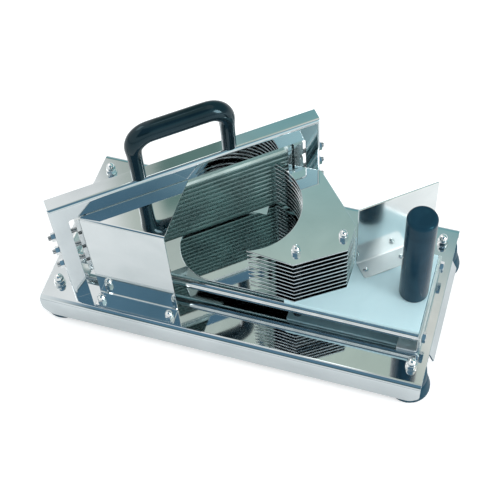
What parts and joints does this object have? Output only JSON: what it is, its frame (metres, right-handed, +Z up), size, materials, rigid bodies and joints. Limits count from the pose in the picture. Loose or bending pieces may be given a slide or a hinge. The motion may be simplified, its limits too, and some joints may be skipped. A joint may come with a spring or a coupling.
{
  "type": "tomato slicer",
  "caption": "Bench tomato slicer: a hand-pushed stack of thin plates slides on rods through a slanted frame of level blades, with a carry handle and guards.",
  "frame": {"origin": "on the bench under the middle of the base", "axes": "+X along the slide towards the knob, +Y to the back, +Z up"},
  "size_m": [0.4136, 0.198, 0.2521],
  "materials": {
    "polished_steel": "polished",
    "bright_hardware": "polished",
    "white_board": "satin",
    "black_grip": "gloss",
    "black_rubber": "matte"
  },
  "bodies": {
    "stand": {"base_tray": "polished_steel", "rubber_feet": "black_rubber", "foot_bolts": "polished_steel", "foot_washers": "bright_hardware", "foot_nuts": "bright_hardware", "right_rod_bracket": "polished_steel", "left_rod_bracket": "polished_steel", "front_rod": "polished_steel", "rear_rod": "polished_steel", "rod_end_bolts": "polished_steel", "blade_frame": "polished_steel", "frame_bolts": "polished_steel", "frame_nuts": "polished_steel", "left_blade_bar": "polished_steel", "right_blade_bar": "polished_steel", "blades": "polished_steel", "blade_pins": "polished_steel", "tension_bolts": "polished_steel", "tension_nuts": "bright_hardware", "carry_handle": "black_grip", "handle_screws": "polished_steel", "front_guard": "polished_steel", "guard_bolts": "polished_steel", "guard_nuts": "bright_hardware"},
    "carriage": {"slide_board": "white_board", "fruit_tray": "polished_steel", "pusher_plates": "polished_steel", "pusher_spacers": "polished_steel", "pusher_bolts": "polished_steel", "pusher_nuts": "bright_hardware", "hand_guard": "polished_steel", "hand_guard_screws": "bright_hardware", "knob": "black_grip", "knob_bolt": "polished_steel"}
  },
  "joints": [
    {"name": "carriage_slide", "type": "slide", "parent": "stand", "child": "carriage", "axis": [1, 0, 0], "range_m": [-0.14, 0]}
  ]
}
